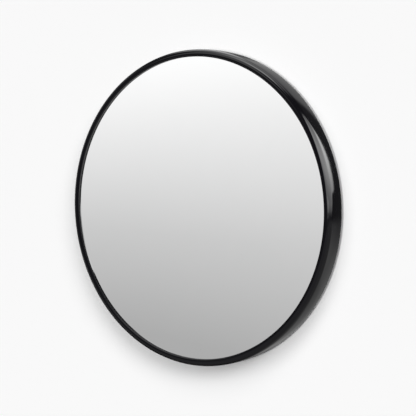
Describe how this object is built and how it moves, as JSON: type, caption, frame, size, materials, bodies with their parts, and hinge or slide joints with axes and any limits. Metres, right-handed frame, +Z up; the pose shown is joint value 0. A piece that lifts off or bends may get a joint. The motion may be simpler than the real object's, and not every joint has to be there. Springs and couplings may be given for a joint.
{
  "type": "wall magnifying mirror",
  "caption": "Round magnifying mirror with a concave glass in a slim gloss black housing, held by magnets on an adhesive wall plate.",
  "frame": {"origin": "centre of the adhesive pad's back face, on the wall", "axes": "+Y into the wall along the mirror's axis, so the mirror faces -Y; +Z up; +X to the right of someone who looks at the mirror"},
  "size_m": [0.17, 0.0145, 0.17],
  "materials": {
    "rim_black": "gloss",
    "cover_black": "satin",
    "mirror_glass": "polished",
    "grey_foam": "matte",
    "nickel": "polished",
    "zinc_steel": "satin",
    "soft_grip": "matte",
    "pad_foam": "matte"
  },
  "bodies": {
    "wall_base": {"wall_plate": "zinc_steel", "adhesive_pad": "pad_foam"},
    "mirror_head": {"front_rim": "rim_black", "magnifying_glass": "mirror_glass", "glass_foam_ring": "grey_foam", "centre_foam_pad": "grey_foam", "rear_cover": "cover_black", "magnet_1": "nickel", "magnet_2": "nickel", "magnet_3": "nickel", "magnet_4": "nickel", "magnet_5": "nickel", "magnet_6": "nickel", "magnet_keeper": "zinc_steel", "grip_ring": "soft_grip"}
  },
  "joints": [
    {"name": "pull_off", "type": "slide", "parent": "wall_base", "child": "mirror_head", "axis": [0, -1, 0], "range_m": [0, 0.04]}
  ]
}
